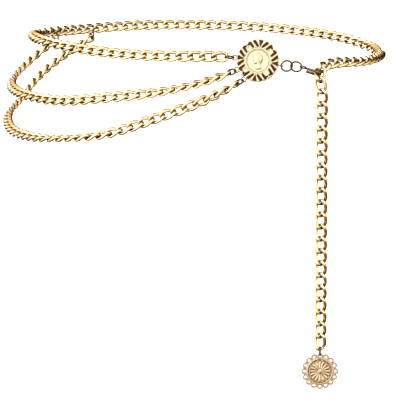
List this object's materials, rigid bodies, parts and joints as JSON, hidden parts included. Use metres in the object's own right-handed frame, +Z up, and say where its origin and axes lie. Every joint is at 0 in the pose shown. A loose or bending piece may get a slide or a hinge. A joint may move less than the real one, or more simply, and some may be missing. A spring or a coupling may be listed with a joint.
{
  "type": "waist chain",
  "caption": "Curb-link waist chain with two draped swags, a coin medallion in a fluted border, a hook clasp and a hanging drop that ends in a round scalloped pendant",
  "frame": {"origin": "middle of the waist that the chain is worn on, at the belt's height", "axes": "+X to the right of the front view, -Y out of the front with the medallion, +Z up"},
  "size_m": [0.3157, 0.2354, 0.2818],
  "materials": {
    "gold": "polished light gold plating",
    "medallion_gold": "polished cast gold plating with darker recesses",
    "clasp_gold": "polished gold plating",
    "ring_gold": "polished gold plating",
    "rose_gold": "polished cast gold plating, slightly pink"
  },
  "bodies": {
    "belt": {"waist_chain": "gold", "middle_swag_chain": "gold", "lower_swag_chain": "gold", "drop_chain": "gold", "medallion": "medallion_gold", "hook_clasp": "clasp_gold", "clasp_ring_1": "ring_gold", "clasp_ring_2": "ring_gold", "belt_lug_ring": "ring_gold", "middle_lug_ring": "ring_gold", "lower_lug_ring": "ring_gold", "middle_hang_ring": "ring_gold", "lower_hang_ring": "ring_gold"},
    "pendant_ring": {"pendant_ring": "ring_gold"},
    "pendant": {"pendant": "rose_gold"}
  },
  "joints": [
    {"name": "ring_swing", "type": "hinge", "parent": "belt", "child": "pendant_ring", "pos_m": [0.09006, -0.10237, -0.23522], "axis": [1, 0, 0], "range_deg": [-40, 40]},
    {"name": "pendant_swing", "type": "hinge", "parent": "pendant_ring", "child": "pendant", "pos_m": [0.09006, -0.10237, -0.24032], "axis": [0, 1, 0], "range_deg": [-40, 40]}
  ]
}
